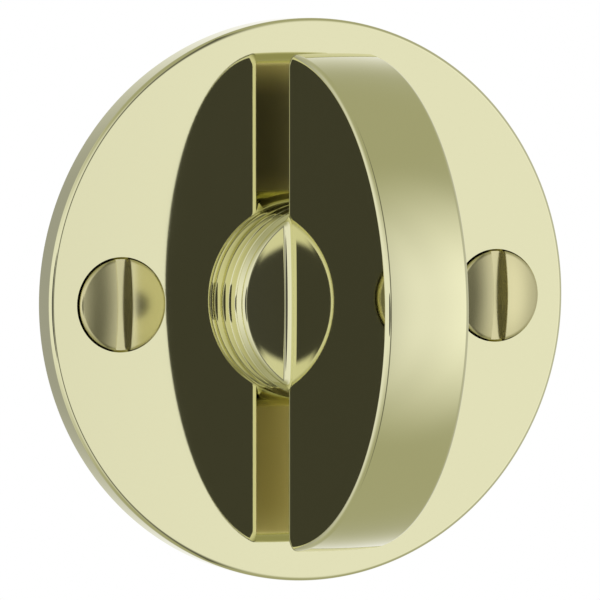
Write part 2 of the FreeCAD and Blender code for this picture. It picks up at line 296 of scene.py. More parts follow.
class Finish(Enum):
    """How a metal surface was worked."""

    POLISHED = "polished"
    TURNED = "turned"
    DRAWN = "drawn"
    TUMBLED = "tumbled"


def linear(hex_colour: str) -> tuple[float, float, float, float]:
    """An sRGB hex colour as linear RGBA, by the sRGB standard's curve."""
    parts = [int(hex_colour[place : place + 2], 16) / 255 for place in (0, 2, 4)]
    turned = [
        part / 12.92 if part <= 0.04045 else ((part + 0.055) / 1.055) ** 2.4 for part in parts
    ]
    return (*turned, 1.0)


def add_node(
    tree: bpy.types.NodeTree, kind: str, settings: dict | None = None, **links: object
) -> bpy.types.Node:
    """Add a node with its settings, and fill its inputs from values or other nodes' outputs.

    Args:
        tree: The node tree.
        kind: Blender's name for the node type.
        settings: Properties of the node.
        links: Input names, with _ for a space, or _ and the input's number, to a value or an
            output socket.

    Returns:
        The node.
    """
    node = tree.nodes.new(kind)
    for key, setting in (settings or {}).items():
        setattr(node, key, setting)
    for key, source in links.items():
        name = key.replace("_", " ").strip()
        socket = node.inputs[int(name) if name.isdigit() else name]
        if isinstance(source, bpy.types.NodeSocket):
            tree.links.new(source, socket)
        else:
            socket.default_value = source
    return node


def new_tree(name: str) -> tuple[bpy.types.Material, bpy.types.NodeTree]:
    """An empty material and its node tree."""
    material = bpy.data.materials.new(name)
    material.use_nodes = True
    material.node_tree.nodes.clear()
    return material, material.node_tree


def paint(
    tree: bpy.types.NodeTree,
    tone: object,
    patches: Sequence[tuple[bpy.types.NodeSocket, float, float, object]],
) -> object:
    """Lay tones over one another, each where a measure passes from one value to another.

    Args:
        tree: The node tree.
        tone: Colour or socket to start from.
        patches: Measure, its value where the patch starts, its value where the patch covers
            all, and the patch's colour or socket.

    Returns:
        The last tone.
    """
    for measure, start, full, patch in patches:
        share = add_node(
            tree,
            "ShaderNodeMapRange",
            {"interpolation_type": "SMOOTHSTEP"},
            Value=measure,
            From_Min=start,
            From_Max=full,
        )
        tone = add_node(
            tree,
            "ShaderNodeMix",
            {"data_type": "RGBA"},
            _0=share.outputs["Result"],
            _6=tone,
            _7=patch,
        ).outputs[2]
    return tone


@dataclass(frozen=True)
class CastHollow:
    """The grip's underside, left as it was cast, with painted shade above the collar.

    Attributes:
        level: Level of the underside in millimetres.
        clear: Distance from the axis where the polished collar ends, in millimetres.
        dark: sRGB hex of the painted shade on the skin where it is darkest, above the collar.
        light: sRGB hex of the skin elsewhere.
        roughness: Blur of the cast skin.
        blur: Half the width of the border with the polished collar, in millimetres.
        skin: Distances above the underside where the skin starts and is full.
        shade_heights: Heights along the grip between which the painted shade sets in.
        shade_end_heights: Heights between which the painted shade fades out again, near the grip's
            upper end.
    """

    level: float = -6.7
    clear: float = 9.9
    dark: str = "96918A"
    light: str = "FFF4DC"
    roughness: float = 0.42
    blur: float = 0.3
    skin: tuple[float, float] = (0.06, 0.01)
    shade_heights: tuple[float, float] = (6.0, 12.0)
    shade_end_heights: tuple[float, float] = (18.5, 23.0)

    def spread(
        self, tree: bpy.types.NodeTree, place: bpy.types.NodeSocket
    ) -> tuple[bpy.types.NodeSocket, bpy.types.NodeSocket]:
        """Where the cast skin lies, and its colour there, with painted shade over the grip's upper
        part.

        Args:
            tree: The node tree.
            place: Object coordinates.

        Returns:
            The share of cast skin, and its colour with the painted shade.
        """
        part = add_node(tree, "ShaderNodeSeparateXYZ", Vector=place)
        near = add_node(tree, "ShaderNodeMath", {"operation": "ABSOLUTE"}, _0=part.outputs["Z"])
        beyond = add_node(
            tree,
            "ShaderNodeMapRange",
            Value=near.outputs["Value"],
            From_Min=(self.clear - self.blur) * MM,
            From_Max=(self.clear + self.blur) * MM,
        )
        below = add_node(
            tree,
            "ShaderNodeMapRange",
            Value=part.outputs["Y"],
            From_Min=(self.level - self.skin[0]) * MM,
            From_Max=(self.level - self.skin[1]) * MM,
        )
        share = add_node(
            tree,
            "ShaderNodeMath",
            {"operation": "MULTIPLY"},
            _0=beyond.outputs["Result"],
            _1=below.outputs["Result"],
        )
        # Painted shade: the skin turns dark between the first heights and light again between the
        # second, on the upper half only
        shade_span, light = (np.array(heights) * MM for heights in (self.shade_heights, self.shade_end_heights))
        skin_and_shade = paint(tree, linear(self.light), [
            (part.outputs["Z"], *shade_span, linear(self.dark)),
            (part.outputs["Z"], *light, linear(self.light)),
        ])
        return share.outputs["Value"], skin_and_shade


@dataclass(frozen=True)
class Metal:
    """A bare metal.

    Attributes:
        name: The material's name.
        colour: sRGB hex of the light that it gives back head on.
        roughness: Blur of its mirror image.
        spread: How much the roughness changes from place to place.
        finish: How the surface was worked.
        grain: Spacing of the marks in millimetres.
        depth: Depth of the marks in millimetres.
        hollow: Skin of the unpolished underside with its painted shade, where the piece has one.
        cloud: Spacing of the changes in roughness in millimetres.
        cloud_range: Values of the cloud noise that give the least and the most roughness.
    """

    name: str
    colour: str
    roughness: float
    spread: float
    finish: Finish
    grain: float
    depth: float
    hollow: CastHollow | None = None
    cloud: float = 9.0
    cloud_range: tuple[float, float] = (0.3, 0.7)

    def material(self) -> bpy.types.Material:
        """Node material: marks from noise stretched along them, cloudy roughness, bare metal."""
        material, tree = new_tree(self.name)
        place = add_node(tree, "ShaderNodeTexCoord").outputs["Object"]
        stretch = {
            Finish.POLISHED: (1.0, 1.0, 1.0),
            Finish.TURNED: (1.0, 1.0, 0.08),
            Finish.DRAWN: (1.0, 0.02, 1.0),
            Finish.TUMBLED: (1.0, 1.0, 1.0),
        }[self.finish]
        mapped = add_node(tree, "ShaderNodeMapping", Vector=place, Scale=stretch)
        marks = add_node(
            tree,
            "ShaderNodeTexNoise",
            Vector=mapped.outputs["Vector"],
            Scale=1 / (self.grain * MM),
            Detail=4.0,
            Roughness=0.6,
        )
        clouds = add_node(
            tree, "ShaderNodeTexNoise", Vector=place, Scale=1 / (self.cloud * MM), Detail=3.0
        )
        blur = add_node(
            tree,
            "ShaderNodeMapRange",
            Value=clouds.outputs["Fac"],
            From_Min=self.cloud_range[0],
            From_Max=self.cloud_range[1],
            To_Min=self.roughness - self.spread / 2,
            To_Max=self.roughness + self.spread / 2,
        )
        bump = add_node(
            tree,
            "ShaderNodeBump",
            Height=marks.outputs["Fac"],
            Strength=1.0,
            Distance=self.depth * MM,
        )
        colour, rough = linear(self.colour), blur.outputs["Result"]
        # The underside's skin, with painted shade over its upper part
        if self.hollow:
            share, skin_and_shade = self.hollow.spread(tree, place)
            colour = paint(tree, colour, [(share, 0.0, 1.0, skin_and_shade)])
            skin = add_node(
                tree, "ShaderNodeMix", _0=share, _2=rough, _3=self.hollow.roughness
            )
            rough = skin.outputs[0]
        shader = add_node(
            tree,
            "ShaderNodeBsdfPrincipled",
            Base_Color=colour,
            Metallic=1.0,
            Roughness=rough,
            Normal=bump.outputs["Normal"],
        )
        add_node(tree, "ShaderNodeOutputMaterial", Surface=shader.outputs["BSDF"])
        return material


@dataclass(frozen=True)
class Plastic:
    """A moulded plastic.

    Attributes:
        name: The material's name.
        colour: sRGB hex of the plastic.
        roughness: Blur of its gloss.
        grain: Spacing of the mould's texture in millimetres.
        depth: Depth of that texture in millimetres.
        ior: Refractive index of the plastic.
    """

    name: str
    colour: str
    roughness: float
    grain: float
    depth: float
    ior: float = 1.48

    def material(self) -> bpy.types.Material:
        """Node material: plain colour under the fine grain of the mould."""
        material, tree = new_tree(self.name)
        place = add_node(tree, "ShaderNodeTexCoord").outputs["Object"]
        grain = add_node(
            tree,
            "ShaderNodeTexNoise",
            Vector=place,
            Scale=1 / (self.grain * MM),
            Detail=3.0,
        )
        bump = add_node(
            tree,
            "ShaderNodeBump",
            Height=grain.outputs["Fac"],
            Strength=1.0,
            Distance=self.depth * MM,
        )
        shader = add_node(
            tree,
            "ShaderNodeBsdfPrincipled",
            Base_Color=linear(self.colour),
            Roughness=self.roughness,
            IOR=self.ior,
            Normal=bump.outputs["Normal"],
        )
        add_node(tree, "ShaderNodeOutputMaterial", Surface=shader.outputs["BSDF"])
        return material


# Turned brass, mop-polished: a pale green-gold mirror with no grain to be seen. The mop's marks
# are finer than a pixel, so these are drawn at half a millimetre and almost flat
PLATE_BRASS = Metal("polished_brass_plate", "E2E0B8", 0.035, 0.015, Finish.POLISHED, 0.5, 0.00003)

# Cast brass with the same polish, and a dull skin left underneath, painted darker above the collar
# as shade
GRIP_BRASS = Metal(
    "polished_brass_grip", "E2E0B8", 0.035, 0.015, Finish.POLISHED, 0.5, 0.00003, CastHollow()
)

# Brass as it leaves the screw lathe: a duller gold that blurs what it mirrors. Its marks are
# drawn coarser than real, to show
SCREW_BRASS = Metal("turned_brass_screw", "D6D0A2", 0.19, 0.06, Finish.TURNED, 0.35, 0.0005)

# Stainless strip as rolled: a warm grey satin
STAINLESS = Metal("rolled_stainless_steel", "BDBBB5", 0.3, 0.1, Finish.TUMBLED, 0.25, 0.001)

# Spring steel with an oiled phosphate coat: a dark grey with a soft sheen
PHOSPHATED = Metal("phosphated_spring_steel", "5E5F62", 0.42, 0.1, Finish.TUMBLED, 0.3, 0.001)

# Drawn steel bar under bright zinc: a cool light grey with faint lines along it
ZINC_STEEL = Metal("bright_zinc_plated_steel", "B9BDC0", 0.26, 0.1, Finish.DRAWN, 0.2, 0.001)

# Moulded acetal: an off-white plastic with a soft, slightly waxy gloss
BUSH_PLASTIC = Plastic("acetal_bush", "E9E6DC", 0.38, 0.3, 0.002)

# Tones of the studio that the metal mirrors: white walls, the brighter wall on the right and the
# duller one beyond it, the dark gap between walls, the ceiling and floor, the room behind the
# lock on its left, and the unlit side that the camera stands in
WALL = (1.0, 1.0, 1.0, 1.0)
BRIGHT_WALL = (1.13, 1.13, 1.13, 1.0)
SIDE_WALL = (0.62, 0.62, 0.6, 1.0)
WALL_GAP = (0.13, 0.13, 0.11, 1.0)
CEILING = (0.46, 0.46, 0.33, 1.0)
BACKDROP = (0.42, 0.42, 0.42, 1.0)
CAMERA_SIDE = (0.075, 0.075, 0.08, 1.0)

# Even tone that lights what isn't metal
EVEN_LIGHT = (0.85, 0.85, 0.85, 1.0)

# Where each tone starts and where it is full: degrees of azimuth, from the gap or of height
BRIGHT_WALL_AT = (26, 34)
SIDE_WALL_AT = (38, 56)
WALL_GAP_AT = (20, 1)
CEILING_AT = (6, 62)

# The same for the room behind, as cosines to the front and to the right, and for the camera's
# side, as shares of its half width
BEHIND_AT = (-0.5, -0.9)
BEHIND_RIGHT_AT = (-0.3, 0.35)
CAMERA_SIDE_AT = (1.05, 0.95)

# Near-white floor paint, and its own glow that keeps it pale under the lock
FLOOR_COLOUR = "F4F4F2"
FLOOR_GLOW = 0.3


@dataclass(frozen=True)
class HoleFan:
    """Counts of points round a screw hole's patch of a flat ring, and the patch's extent.

    Attributes:
        outer: Points along the patch's outer arc.
        side: Points along each straight side.
        inner: Points along the inner arc.
        between: Points along each arc between the two patches.
        half_angle: Half the patch's angle about the ring's centre.
        rows: Shares of the way from a hole to the patch's border where the patch has points. The
            rows close to both ends keep the flat's shading clear of its edges.
    """

    outer: int = 120
    side: int = 36
    inner: int = 40
    between: int = 120
    half_angle: float = math.radians(40)
    rows: tuple[float, ...] = (0, 0.004, 0.2, 0.4, 0.6, 0.8, 0.996, 1)

    def turn(self, on_patch: int) -> np.ndarray:
        """Angles round the ring, with a given number of points on each patch's arc."""
        half = self.half_angle
        return np.concatenate([
            np.linspace(-half, half, on_patch + 1)[:-1],
            np.linspace(half, math.pi - half, self.between + 1)[:-1],
            np.linspace(math.pi - half, math.pi + half, on_patch + 1)[:-1],
            np.linspace(math.pi + half, 2 * math.pi - half, self.between + 1),
        ])

    def hole_angles(self) -> np.ndarray:
        """Even angles round a hole, starting where the patch's border starts."""
        count = self.outer + 2 * self.side + self.inner
        start = -math.pi * self.outer / count
        return start + full_turn(count)

    def flat_ring(
        self, inner: float, outer: float, level: float, hole_at: float, hole: float
    ) -> list[np.ndarray]:
        """Flat ring with two holes on the X axis.

        Each hole's patch blends in a straight line from the hole's circle to the border of a
        sector, and plain polar grids fill the ring between the two patches.

        Args:
            inner: Ring's inner radius.
            outer: Ring's outer radius.
            level: Place along Y.
            hole_at: Distance of the holes from the ring's centre.
            hole: Radius of the holes.

        Returns:
            The grids.
        """
        half = self.half_angle
        radii = np.linspace(inner, outer, self.side + 1)
        arc_out = np.linspace(-half, half, self.outer + 1)
        arc_in = np.linspace(half, -half, self.inner + 1)
        border = np.concatenate([
            outer * np.stack([np.cos(arc_out), np.sin(arc_out)], axis=1)[:-1],
            radii[::-1, None] * np.array([[math.cos(half), math.sin(half)]]),
            inner * np.stack([np.cos(arc_in), np.sin(arc_in)], axis=1)[1:-1],
            radii[:, None] * np.array([[math.cos(half), -math.sin(half)]]),
        ])
        angles = self.hole_angles()
        circle = np.stack([hole_at + hole * np.cos(angles), hole * np.sin(angles)], axis=1)
        patch = circle + (border - circle) * np.array(self.rows)[:, None, None]
        right = stack(patch[..., 0], level, patch[..., 1])
        left = right * np.array([-1, 1, -1])
        grids = [right, left]
        for start in (half, math.pi + half):
            turn = np.linspace(start, start + math.pi - 2 * half, self.between + 1)
            grids.append(lathe(np.stack([radii, np.full_like(radii, level)], axis=1), turn))
        return grids


@dataclass
class Rosette:
    """Round plate that covers the bore in the door, with two countersunk holes.

    Attributes:
        rim: Outer radius.
        front: Level of the front face.
        edge: Radius of the front edge.
        back_chamfer: Chamfer of the back edge.
        back_rim: Width of the rim that lies on the door.
        relief: Depth of the relieved back.
        hub_wall: Outer radius of the hub.
        hub_end: Level of the hub's end.
        hub_chamfer: Chamfer on the hub's end.
        bore: Radius of the bush's bore.
        seat: Radius of the counterbore for the bush's flange.
        seat_floor: Level of that counterbore's floor.
        screw_at: Distance of the screws from the centre.
        mouth: Radius of the countersink at the front face.
        hole: Radius of the screw holes.
        mouth_edge: Radius of the countersink's broken edge.
        front_lap: Width of the rim's strip of the front face.
        back_lap: Width of its strip of the relieved back.
        hub_lap: Width of the hub's strip of the back.
        seat_lap: Width of the hub's strip of the front face.
        hole_lap: Width of a hole's strip of the back.
    """

    rim: float
    front: float
    hub_end: float
    seat_floor: float
    screw_at: float
    mouth: float
    hole: float
    edge: float = 0.4
    back_chamfer: float = 0.3
    back_rim: float = 3.2
    relief: float = 0.7
    hub_wall: float = 9.5
    hub_chamfer: float = 0.5
    bore: float = 7.5
    seat: float = 8.1
    mouth_edge: float = 0.07
    front_lap: float = 0.05
    back_lap: float = 0.4
    hub_lap: float = 0.3
    seat_lap: float = 0.2
    hole_lap: float = 0.1

    def build(self) -> bpy.types.Object:
        """Join the rim, the two bored faces, the hub and the two countersunk holes."""
        fan = HoleFan()
        front_to = self.rim - self.edge - self.front_lap
        front_from = self.seat + self.seat_lap
        relief_wall = self.rim - self.back_rim
        back_to = relief_wall - self.back_lap
        back_from = self.hub_wall + self.hub_lap
        hole_rim = self.hole + self.hole_lap
        rim = profile([
            Corner(front_to, self.front),
            Corner(self.rim, self.front, self.edge),
            Corner(self.rim, -self.back_chamfer, 0.08),
            Corner(self.rim - self.back_chamfer, 0, 0.08),
            Corner(relief_wall, 0, 0.15),
            Corner(relief_wall, -self.relief, 0.2),
            Corner(back_to, -self.relief),
        ], ROUND_STEPS)
        hub = profile([
            Corner(back_from, -self.relief),
            Corner(self.hub_wall, -self.relief, 0.2),
            Corner(self.hub_wall, self.hub_end - self.hub_chamfer, 0.05),
            Corner(self.hub_wall - self.hub_chamfer, self.hub_end, 0.05),
            Corner(self.bore, self.hub_end, 0.08),
            Corner(self.bore, self.seat_floor, 0.05),
            Corner(self.seat, self.seat_floor),
            Corner(self.seat, self.front, 0.08),
            Corner(front_from, self.front),
        ])
        grids = [lathe(rim, fan.turn(fan.outer)), lathe(hub, fan.turn(fan.inner))]
        flat = self.mouth + self.mouth_edge
        grids += fan.flat_ring(front_from, front_to, self.front, self.screw_at, flat)
        grids += fan.flat_ring(back_from, back_to, -self.relief, self.screw_at, hole_rim)
        bore = profile([
            Corner(flat, self.front),
            Corner(self.mouth, self.front, self.mouth_edge / 3),
            Corner(self.hole, self.front + self.mouth - self.hole, 0.1),
            Corner(self.hole, -self.relief, 0.06),
            Corner(hole_rim, -self.relief),
        ], steps=5)
        right = lathe(bore, fan.hole_angles(), self.screw_at)
        grids += [right, right * np.array([-1, 1, -1])]
        return stand_in("brass_rosette", grids, Body.DOOR_SIDE, "rosette")

    def dress(self, piece: bpy.types.Object) -> None:
        """Give the plate its polished brass."""
        piece.data.materials.append(PLATE_BRASS.material())


# Points along a quarter of the blend: under the grip, round its lower edge, over the collar's
# rim and along the dome. Then steps across its skin
UNDER, AROUND, OVER, ALONG = 14, 33, 16, 32
SKIN_STEPS = 16

# How far the back of the blend's ring lies inside the metal: past the corner of the two forms, as
# a share of its distance, and behind each contact, in millimetres
CORNER_DEPTH = 1.08
SUNK = 0.15


@dataclass
class ThumbTurn:
    """Half-moon grip, its collar and the journal behind them, cast in one.

    Attributes:
        half_width: Half the grip's thickness.
        grip_radius: Radius of the grip's arc.
        top: Level of the arc's highest point.
        underside: Level of the grip's flat underside.
        edge: Radius along the grip's long edges.
        under_edge: How far the rounding of the lower edges reaches under the grip.
        under_reach: How far that rounding, dubbed by the polishing mop, reaches up the side.
        tip: Radius at the grip's two ends.
        crown: Angle that the arc's band leans at its edges, from hand polishing.
        collar: Radius of the collar under its rim.
        foot: Radius of the collar at its lower face.
        moulding: Corners of the collar's turned moulding, from the rim down: a quirk, a
            fillet, a second quirk and the swell above the foot.
        collar_base: Level of the collar's lower face.
        collar_top: Level of the collar's rim.
        dome: Height of the collar's low dome.
        collar_rim: Radius of the collar's rim.
        under_blend: Radius of the blend under the grip.
        side_blend: Radius of the blend beside the grip.
        journal: Radius of the journal.
        journal_chamfer: Chamfer on the journal's end.
        journal_end: Level of the journal's end.
        groove: Radius at the ring groove's floor.
        groove_from: Level where the groove starts.
        groove_to: Level where the groove ends.
        socket: Half the socket's side.
        socket_floor: Level of the socket's floor.
        mouth: Chamfer at the socket's mouth.
        arc_steps: Steps along the grip's long arc.
        tip_steps: Steps round each of its ends.
    """

    half_width: float
    grip_radius: float
    top: float
    journal_end: float
    collar: float
    collar_base: float
    socket_floor: float
    groove_from: float
    groove_to: float
    underside: float = -6.7
    edge: float = 0.5
    under_edge: float = 0.2
    under_reach: float = 1.0
    tip: float = 1.2
    crown: float = math.radians(3.0)
    foot: float = 9.08
    moulding: tuple[Corner, ...] = (
        Corner(9.05, -6.15, 0.12),
        Corner(8.75, -6.0, 0.05),
        Corner(9.0, -5.86, 0.08),
        Corner(9.12, -5.3, 1.0),
        Corner(9.12, -4.92, 0.06),
        Corner(8.78, -4.8, 0.04),
        Corner(9.08, -4.66, 0.08),
        Corner(9.22, -3.95, 2.0),
    )
    collar_top: float = -7.1
    dome: float = 0.45
    collar_rim: float = 0.4
    under_blend: float = 1.1
    side_blend: float = 0.7
    journal: float = 6.0
    journal_chamfer: float = 0.4
    groove: float = 5.75
    socket: float = 3.05
    mouth: float = 0.1
    arc_steps: int = 360
    tip_steps: int = 24

    def grip(self) -> list[np.ndarray]:
        """The half-moon slab: a rounded band carried along the outline, and two flat sides.

        The outline is inset by the height that its edges' rounding has there. Its outward
        normal n turns from +Y on the underside, through the tips' small arcs, to the radial
        direction on the long arc. A band point is inset + n e + x across, where e and x follow
        a quarter of an ellipse, a shallow crown arc and a quarter of an ellipse. A side is the
        inset outline drawn in to one point.
        """
        bulge = self.half_width * math.tan(self.crown / 2)
        radius = self.grip_radius - bulge
        centre = self.top + self.grip_radius
        tip_level = self.underside - self.tip
        tip_across = math.sqrt((radius - self.tip) ** 2 - (tip_level - centre) ** 2)
        lean = math.atan2(tip_across, centre - tip_level)
        long_arc = np.linspace(-lean, lean, self.arc_steps + 1)
        round_tip = sweep(self.tip_steps)
        small = math.pi - round_tip * (math.pi - lean)
        normal_at = np.concatenate([small * -1, long_arc, small[::-1], [math.pi]])
        normal = np.stack([np.sin(normal_at), -np.cos(normal_at)], axis=1)
        small_count = len(small)
        tip_centre = np.array([tip_across, tip_level])
        on_arc = np.concatenate([
            np.sin(round_tip * math.pi / 2) ** 2,
            np.ones(len(long_arc)),
            np.sin(round_tip[::-1] * math.pi / 2) ** 2,
            [0],
        ])
        reach = self.under_reach + (self.edge - self.under_reach) * on_arc[:, None]
        small_round = self.tip - reach
        inset = np.concatenate([
            tip_centre * [-1, 1] + (small_round * normal)[:small_count],
            np.array([0, centre]) + ((radius - reach) * normal)[small_count:-small_count - 1],
            tip_centre + (small_round * normal)[-small_count - 1:-1],
            tip_centre * [-1, 1] + (small_round * normal)[:1],
        ])
        crown = np.maximum(self.crown * on_arc, NEARLY_FLAT)[:, None]
        turn = sweep(ROUND_STEPS) * (math.pi / 2 - crown)
        wide = self.under_edge + (self.edge - self.under_edge) * on_arc[:, None]
        corner_x = self.half_width - wide * (1 - np.cos(turn))
        corner_e = reach * np.sin(turn)
        end_x = self.half_width - wide * (1 - np.sin(crown))
        across = np.linspace(-1, 1, BAND_STEPS + 1)[1:-1] * end_x
        bend = end_x / np.sin(crown)
        crown_e = reach * np.cos(crown) + np.sqrt(bend**2 - across**2) - bend * np.cos(crown)
        x = np.concatenate([-corner_x, across, corner_x[:, ::-1]], axis=1)
        e = np.concatenate([corner_e, crown_e, corner_e[:, ::-1]], axis=1)
        band = stack(
            x,
            inset[:, 1:] + normal[:, 1:] * e,
            inset[:, :1] + normal[:, :1] * e,
        )
        middle = np.array([0, (self.underside + self.top) / 2])
        side = middle + (inset - middle) * SIDE_ROWS[:, None, None]
        grids = [band]
        grids += [stack(edge * self.half_width, side[..., 1], side[..., 0]) for edge in (-1, 1)]
        return grids

    def sphere(self) -> tuple[float, float]:
        """Radius and centre level of the sphere that the collar's dome is a part of."""
        rim = self.collar - self.collar_rim
        radius = (rim**2 + self.dome**2) / (2 * self.dome)
        return radius, self.collar_top - self.dome + radius

    def collar_and_journal(self) -> list[np.ndarray]:
        """Turned part, from the middle of the collar's dome to the floor of the square socket."""
        radius, centre = self.sphere()
        rim = self.collar - self.collar_rim
        slope = math.asin(rim / radius)
        rise = np.linspace(0, 1, BAND_STEPS + 1)[:-1] * slope
        dome = np.stack([radius * np.sin(rise), centre - radius * np.cos(rise)], axis=1)
        turn = slope + sweep(ROUND_STEPS) * (math.pi / 2 - slope)
        edge = np.stack([
            rim + self.collar_rim * (np.sin(turn) - math.sin(slope)) / (1 - math.sin(slope)),
            self.collar_top + self.collar_rim * (math.cos(slope) - np.cos(turn)),
        ], axis=1)
        end = self.journal - self.journal_chamfer
        wall = profile([
            Corner(self.collar, edge[-1, 1] + 0.02),
            *self.moulding,
            Corner(self.foot, self.collar_base, 0.3),
            Corner(self.journal, self.collar_base, 0.1),
            Corner(self.journal, self.groove_from),
            Corner(self.groove, self.groove_from),
            Corner(self.groove, self.groove_to),
            Corner(self.journal, self.groove_to),
            Corner(self.journal, self.journal_end - self.journal_chamfer, 0.05),
            Corner(end, self.journal_end, 0.05),
            Corner(end - 0.3, self.journal_end),
        ])
        socket = np.array([
            (self.socket + self.mouth, self.journal_end),
            (self.socket, self.journal_end - self.mouth),
            (self.socket, self.socket_floor),
            (0, self.socket_floor),
        ])
        outline = np.concatenate([dome, edge, wall, socket])
        return [lathe(outline, full_turn(256), square=len(socket))]

    def blend(self) -> list[np.ndarray]:
        """Concave blend where the grip meets the collar, as a closed ring.

        A ball rolls round the corner between the two forms. Its centre keeps one ball radius
        from both, first under the grip against the collar's wall, then round the grip's lower
        edge and the collar's rim, then along the dome beside the grip. The skin is the arc
        between the ball's two points of contact, and the ring's back lies inside the metal.
        """
        rim = self.collar - self.collar_rim
        rim_level = self.collar_top + self.collar_rim
        flat = self.half_width - self.edge
        dome_radius, dome_centre = self.sphere()
        slope = math.asin(rim / dome_radius)

        progress = np.concatenate([
            np.zeros(UNDER), np.linspace(0, 1, AROUND)[:-1], np.ones(1 + OVER + ALONG)
        ])
        ease = progress**2 * (3 - 2 * progress)
        ball = self.under_blend + (self.side_blend - self.under_blend) * ease

        under = slice(0, UNDER)
        around = slice(UNDER, UNDER + AROUND)
        over = slice(UNDER + AROUND, UNDER + AROUND + OVER)
        along = slice(UNDER + AROUND + OVER, len(ball))
        centre = np.zeros((len(ball), 3))
        on_grip = np.zeros((len(ball), 3))

        x = -np.linspace(0, 1, UNDER + 1)[:-1] * flat
        reach = self.collar + ball[under]
        centre[under] = stack(x, self.underside + ball[under], np.sqrt(reach**2 - x**2))
        on_grip[under] = centre[under] - stack(0 * x, ball[under], 0 * x)

        turn = np.linspace(0, math.pi / 2, AROUND)
        size = ball[around]
        x = -flat - (self.edge + size) * np.sin(turn)
        y = self.underside - self.edge + (self.edge + size) * np.cos(turn)
        above = np.minimum(y - rim_level, 0)
        reach = rim + np.sqrt((self.collar_rim + size) ** 2 - above**2)
        centre[around] = stack(x, y, np.sqrt(reach**2 - x**2))
        on_grip[around] = stack(
            -flat - self.edge * np.sin(turn),
            self.underside - self.edge + self.edge * np.cos(turn),
            centre[around, 2],
        )

        size = self.side_blend
        x = -(self.half_width + size)
        lift = math.asin((rim_level - self.underside + self.edge) / (self.collar_rim + size))
        turn = lift + np.linspace(0, 1, OVER + 1)[1:] * (math.pi / 2 - slope - lift)
        reach = rim + (self.collar_rim + size) * np.cos(turn)
        y = rim_level - (self.collar_rim + size) * np.sin(turn)
        centre[over] = stack(x, y, np.sqrt(reach**2 - x**2))
        on_grip[over] = centre[over] + np.array([size, 0, 0])

        z = centre[over][-1, 2] * np.linspace(1, 0, ALONG + 1)[1:]
        y = dome_centre - np.sqrt((dome_radius + size) ** 2 - x**2 - z**2)
        centre[along] = stack(x, y, z)
        on_grip[along] = centre[along] + np.array([size, 0, 0])

        radial = centre * np.array([1, 0, 1])
        distance = np.linalg.norm(radial, axis=1, keepdims=True)
        outward = radial / distance
        ring = outward * rim + np.array([0, rim_level, 0])
        on_wall = outward * self.collar + centre * np.array([0, 1, 0])
        on_rim = ring + unit(centre - ring) * self.collar_rim
        middle = np.array([0, dome_centre, 0])
        on_dome = middle + unit(centre - middle) * dome_radius
        below = centre[:, 1:2] >= rim_level
        on_collar = np.where(below, on_wall, on_rim)
        on_collar[along] = on_dome[along]

        to_grip = unit(on_grip - centre)
        to_collar = unit(on_collar - centre)
        arc = arc_between(to_grip, to_collar, sweep(SKIN_STEPS))
        skin = centre[:, None] + ball[:, None, None] * arc
        half_cosine = np.sum(to_grip * unit(to_grip + to_collar), axis=1, keepdims=True)
        deep = CORNER_DEPTH * ball[:, None] / (2 * half_cosine**2)
        inside = np.stack([
            on_collar + to_collar * SUNK,
            centre + (to_grip + to_collar) * deep,
            on_grip + to_grip * SUNK,
            on_grip,
        ], axis=1)
        quarter = np.concatenate([skin, inside], axis=1)
        lower = quarter[::-1] * MIRROR_Z
        half = np.concatenate([quarter, lower[1:]])
        other = half[::-1] * MIRROR_X
        return [np.concatenate([half, other[1:]])]

    def build(self) -> bpy.types.Object:
        """Join the grip, the turned part and the blend between them."""
        grids = self.grip() + self.collar_and_journal() + self.blend()
        return stand_in("brass_thumb_turn", grids, Body.TURN, "thumb_turn")

    def dress(self, piece: bpy.types.Object) -> None:
        """Give the grip its polished brass."""
        piece.data.materials.append(GRIP_BRASS.material())


